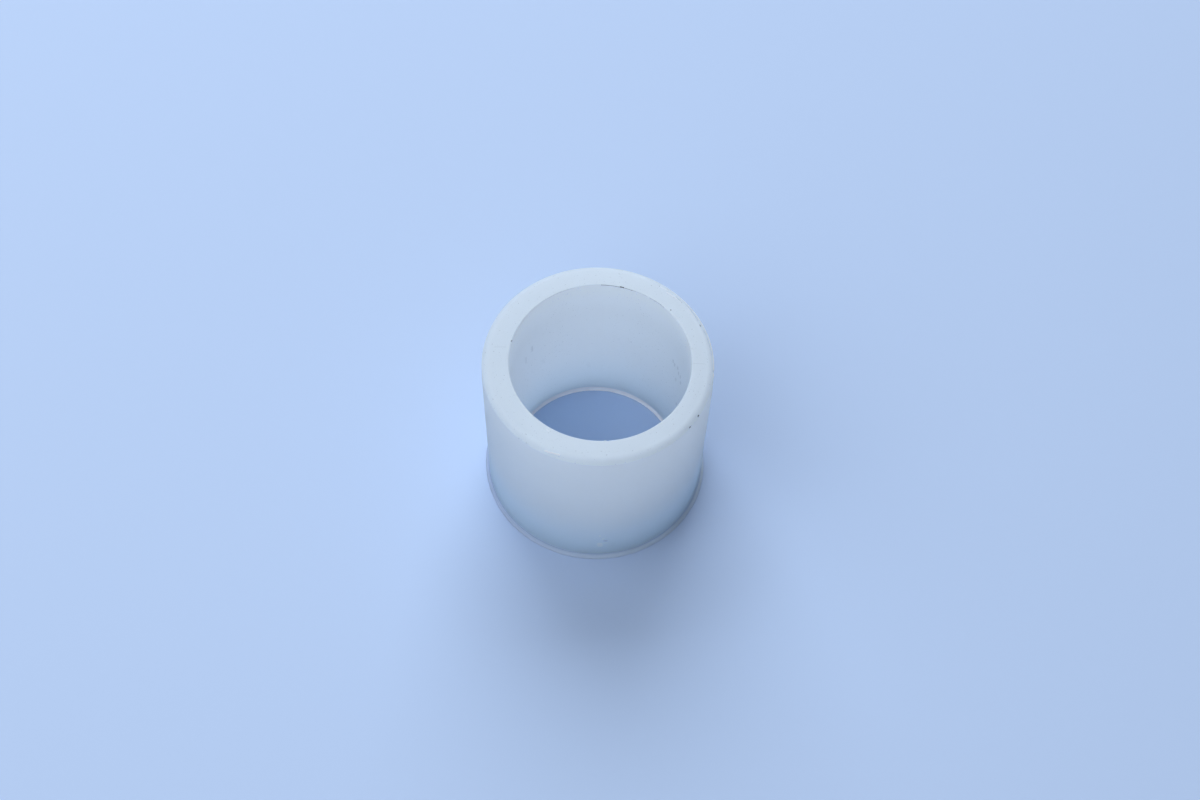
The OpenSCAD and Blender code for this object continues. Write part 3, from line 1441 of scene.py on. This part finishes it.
@dataclass
class Sleeve:
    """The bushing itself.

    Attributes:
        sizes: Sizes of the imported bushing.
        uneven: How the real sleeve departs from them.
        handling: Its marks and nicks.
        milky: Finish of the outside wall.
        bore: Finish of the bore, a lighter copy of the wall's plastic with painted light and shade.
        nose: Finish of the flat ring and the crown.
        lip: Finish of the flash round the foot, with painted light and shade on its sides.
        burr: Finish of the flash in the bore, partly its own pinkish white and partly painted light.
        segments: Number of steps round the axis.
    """

    sizes: SleeveSizes
    uneven: Unevenness = Unevenness()
    handling: HandlingMarks = HandlingMarks()
    milky: Plastic = Plastic()
    # Painted light and shade: a lighter copy of the wall's plastic, painted lighter near the nose and darker
    # at the foot.
    bore: Plastic = Plastic(
        base=(0.765, 0.86, 0.94),
        through=(0.945, 0.96, 0.96),
        painted_foot_shading=(0.94, 0.97, 0.99),
        foot_height=11.0 * MM,
        painted_nose_light=0.09,
    )
    nose: Plastic = Plastic(base=(0.68, 0.79, 0.89), through=(0.92, 0.95, 0.97), through_share=0.45, painted_nose_light=0.0)
    lip: Plastic = Plastic(
        "flash",
        (0.48, 0.57, 0.79),
        through_share=0.0,
        painted_foot_shading=(1.0, 1.0, 1.0),
        # Painted light and shade: the lip is painted darker towards -X and lighter towards +X.
        sides=((0.72, 0.78, 0.82), (1.33, 1.40, 1.26)),
        cloud_depth=0.08,
        bump=0.2,
    )
    # Partly painted light: the flash's near-white stands partly for its own colour and partly for the light
    # its upper face catches.
    burr: Plastic = Plastic(
        "flash", (1.0, 0.96, 0.95), through_share=0.0, painted_foot_shading=(1.0, 1.0, 1.0), cloud_depth=0.06, bump=0.2
    )
    segments: int = 640

    def build(self) -> bpy.types.Object:
        """Builds the sleeve as a plain mesh with its finishes.

        Returns:
            The finished piece, with no modifier left on it.
        """
        placing = Placing(self.sizes, self.uneven)
        half = HalfSection(self.sizes, self.uneven).mesh("half_section")
        section = bpy.data.objects.new("half_section", half)
        piece = bpy.data.objects.new("sleeve", bpy.data.meshes.new("sleeve"))
        for thing in (section, piece):
            bpy.context.scene.collection.objects.link(thing)
        tree = TurnedTree(placing, self.handling.nicks).build("turned_sleeve")
        modifier = piece.modifiers.new("turned_sleeve", "NODES")
        modifier.node_group = tree
        values = {
            "Section": section,
            "Segments": self.segments,
            "Lip Unevenness": self.uneven.lip,
            "Bore Lean": self.uneven.bore_lean,
            **self.finishes(placing),
        }
        for item in tree.interface.items_tree:
            if item.in_out == "INPUT":
                modifier[item.identifier] = values[item.name]
        graph = bpy.context.evaluated_depsgraph_get()
        mesh = bpy.data.meshes.new_from_object(piece.evaluated_get(graph))
        piece.modifiers.remove(modifier)
        piece.data = mesh
        bpy.data.objects.remove(section)
        return piece

    def finishes(self, placing: Placing) -> Dict[str, bpy.types.Material]:
        """Builds the finish of each face.

        Args:
            placing: Finds points on the sleeve.

        Returns:
            The materials by the names of their faces.
        """
        effects = Effects.build(self.sizes, placing.crown)
        marks = self.handling.marks()
        looks = {Face.NOSE: self.nose, Face.BORE: self.bore, Face.LIP: self.lip, Face.BURR: self.burr}
        return {face.name: looks.get(face, self.milky).build(face, effects, placing, marks) for face in Face}


@dataclass(frozen=True)
class PhotoCamera:
    """Camera at the photograph's viewing angle.

    Attributes:
        frame_px: Width and height of the frame, in pixels.
        focal_px: Focal length, in pixels.
        distance: How far the camera stands from its target.
        elevation: How high it stands, in degrees.
        roll: How far it is turned about its own axis, in degrees.
        aim_px: Where the target shows, right of and below the middle of the frame.
        sensor: Width of the sensor, in millimetres.
        near: Distance from which on it sees.
    """

    frame_px: Tuple[int, int] = (1200, 800)
    focal_px: float = 1559.3
    distance: float = 225.14 * MM
    elevation: float = 59.99
    roll: float = 1.92
    aim_px: Point = (-3.55, 12.91)
    sensor: float = 36.0
    near: float = 10.0 * MM

    def build(self, target: Vector) -> bpy.types.Object:
        """Adds the camera.

        Args:
            target: The point that shows at aim_px from the middle of the frame.

        Returns:
            The camera.
        """
        data = bpy.data.cameras.new("camera")
        data.sensor_width = self.sensor
        data.lens = self.sensor * self.focal_px / self.frame_px[0]
        data.clip_start = self.near
        camera = bpy.data.objects.new("camera", data)
        bpy.context.scene.collection.objects.link(camera)
        lift = math.radians(self.elevation)
        back = Vector((0.0, -math.cos(lift), math.sin(lift)))
        level = Matrix.Rotation(math.pi / 2 - lift, 3, "X")
        rolled = level @ Matrix.Rotation(math.radians(self.roll), 3, "Z")
        aim = Vector((self.aim_px[0], -self.aim_px[1], -self.focal_px)).normalized()
        pan = aim.rotation_difference(Vector((0.0, 0.0, -1.0))).to_matrix()
        turned = rolled @ pan
        camera.matrix_world = Matrix.Translation(target + back * self.distance) @ turned.to_4x4()
        bpy.context.scene.camera = camera
        return camera


@dataclass(frozen=True)
class Lamp:
    """A soft square lamp that faces the part.

    Attributes:
        name: What it is called.
        azimuth: Where it stands round the part, in degrees from +X.
        elevation: How high it stands, in degrees.
        power: Its power, in watts.
        distance: How far it stands from the part.
        size: Length of its sides.
    """

    name: str
    azimuth: float
    elevation: float
    power: float
    distance: float = 1.1
    size: float = 0.9

    def build(self, target: Vector, colour: Colour) -> None:
        """Adds the lamp.

        Args:
            target: What it faces.
            colour: Colour of its light.
        """
        data = bpy.data.lights.new(self.name, "AREA")
        data.shape = "SQUARE"
        data.size = self.size
        data.energy = self.power
        data.color = colour
        lamp = bpy.data.objects.new(self.name, data)
        bpy.context.scene.collection.objects.link(lamp)
        turn, lift = math.radians(self.azimuth), math.radians(self.elevation)
        level = math.cos(lift)
        way = Vector((math.cos(turn) * level, math.sin(turn) * level, math.sin(lift)))
        facing = way.to_track_quat("Z", "Y").to_matrix().to_4x4()
        lamp.matrix_world = Matrix.Translation(target + way * self.distance) @ facing


@dataclass(frozen=True)
class Studio:
    """Plain pale floor and soft light.

    Attributes:
        floor_size: Length of the floor's sides.
        floor_colour: Its colour.
        floor_roughness: Its roughness.
        light_colour: Colour of all the light.
        room_strength: Strength of the light from all round.
        lamps: The lamps.
    """

    floor_size: float = 4.0
    floor_colour: Colour = (0.47, 0.61, 0.86)
    floor_roughness: float = 0.9
    light_colour: Colour = (0.935, 0.96, 1.0)
    room_strength: float = 0.05
    lamps: Tuple[Lamp, ...] = (
        Lamp("back_window", 97.0, 45.0, 11.2),
        Lamp("left_window", 180.0, 45.0, 3.4),
        Lamp("front_left_window", 225.0, 45.0, 3.0),
        Lamp("front_lamp", 250.0, 60.0, 1.9),
    )

    def floor(self) -> bpy.types.Object:
        """Adds the floor.

        Returns:
            The floor.
        """
        half = self.floor_size / 2
        mesh = bpy.data.meshes.new("floor")
        corners = [(-half, -half, 0.0), (half, -half, 0.0), (half, half, 0.0), (-half, half, 0.0)]
        mesh.from_pydata(corners, [], [(0, 1, 2, 3)])
        floor = bpy.data.objects.new("floor", mesh)
        bpy.context.scene.collection.objects.link(floor)
        material = bpy.data.materials.new("pale_floor")
        material.use_nodes = True
        shader = material.node_tree.nodes["Principled BSDF"]
        shader.inputs["Base Color"].default_value = (*self.floor_colour, 1.0)
        shader.inputs["Roughness"].default_value = self.floor_roughness
        mesh.materials.append(material)
        return floor

    def build(self, target: Vector) -> None:
        """Adds the floor, the lamps and the room's light.

        Args:
            target: What the lamps face.
        """
        self.floor()
        for lamp in self.lamps:
            lamp.build(target, self.light_colour)
        world = bpy.data.worlds.new("room")
        world.use_nodes = True
        background = world.node_tree.nodes["Background"]
        background.inputs["Color"].default_value = (*self.light_colour, 1.0)
        background.inputs["Strength"].default_value = self.room_strength
        bpy.context.scene.world = world
        bpy.context.scene.view_settings.view_transform = "Standard"


def main() -> None:
    """Builds the piece, the camera and the light, in that order."""
    logging.basicConfig(level=logging.INFO, format="%(name)s: %(message)s")
    sizes = SleeveSizes.from_frame()
    middle = Vector((0.0, 0.0, sizes.length / 2))
    sleeve = Sleeve(sizes).build()
    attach(sleeve, BODY)
    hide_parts(NODE)
    LOG.info("%s: %d faces", sleeve.name, len(sleeve.data.polygons))
    PhotoCamera().build(middle)
    Studio().build(middle)


if __name__ == "__main__":
    main()
